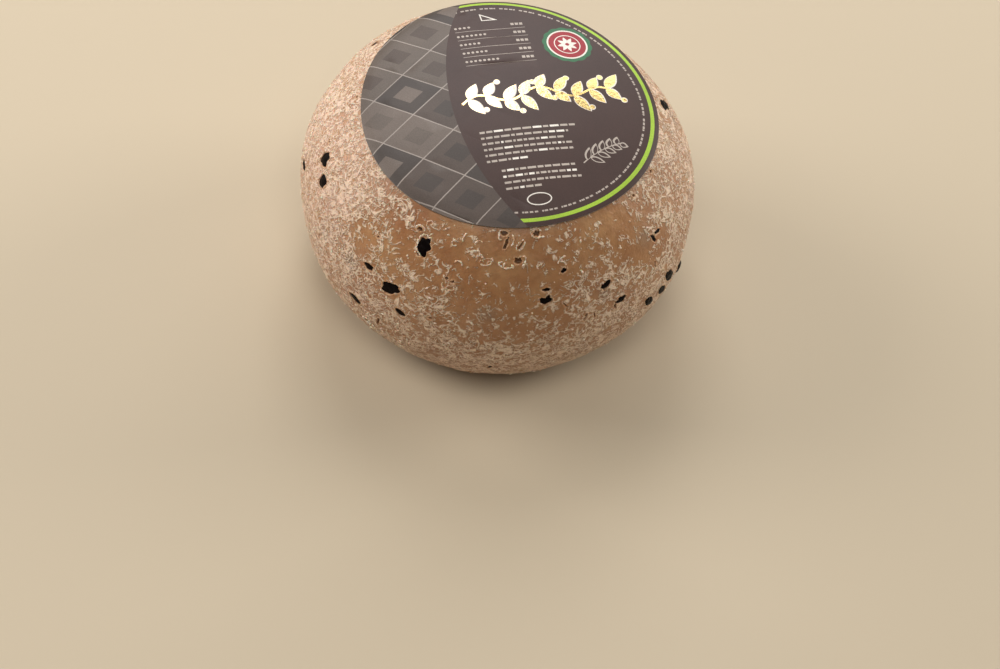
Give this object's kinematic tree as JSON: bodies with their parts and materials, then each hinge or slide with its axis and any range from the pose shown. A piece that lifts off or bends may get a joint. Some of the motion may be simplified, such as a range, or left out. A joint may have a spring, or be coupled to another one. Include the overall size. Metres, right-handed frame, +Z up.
{
  "type": "pecorino cheese",
  "caption": "Whole small round pecorino with chocolate pieces in its rind, a flat base, rounded sides and a round paper label over its pressed, gently domed top.",
  "frame": {"origin": "middle of the flat base, in the plane of the surface that the wheel stands on", "axes": "+Z up through the label, -Y towards the side that the picture shows, +X to the right of that side"},
  "size_m": [0.1332, 0.1331, 0.0843],
  "materials": {
    "rind": "satin",
    "label_paper": "satin"
  },
  "bodies": {
    "root": {"cheese": "rind", "label": "label_paper"}
  },
  "joints": []
}
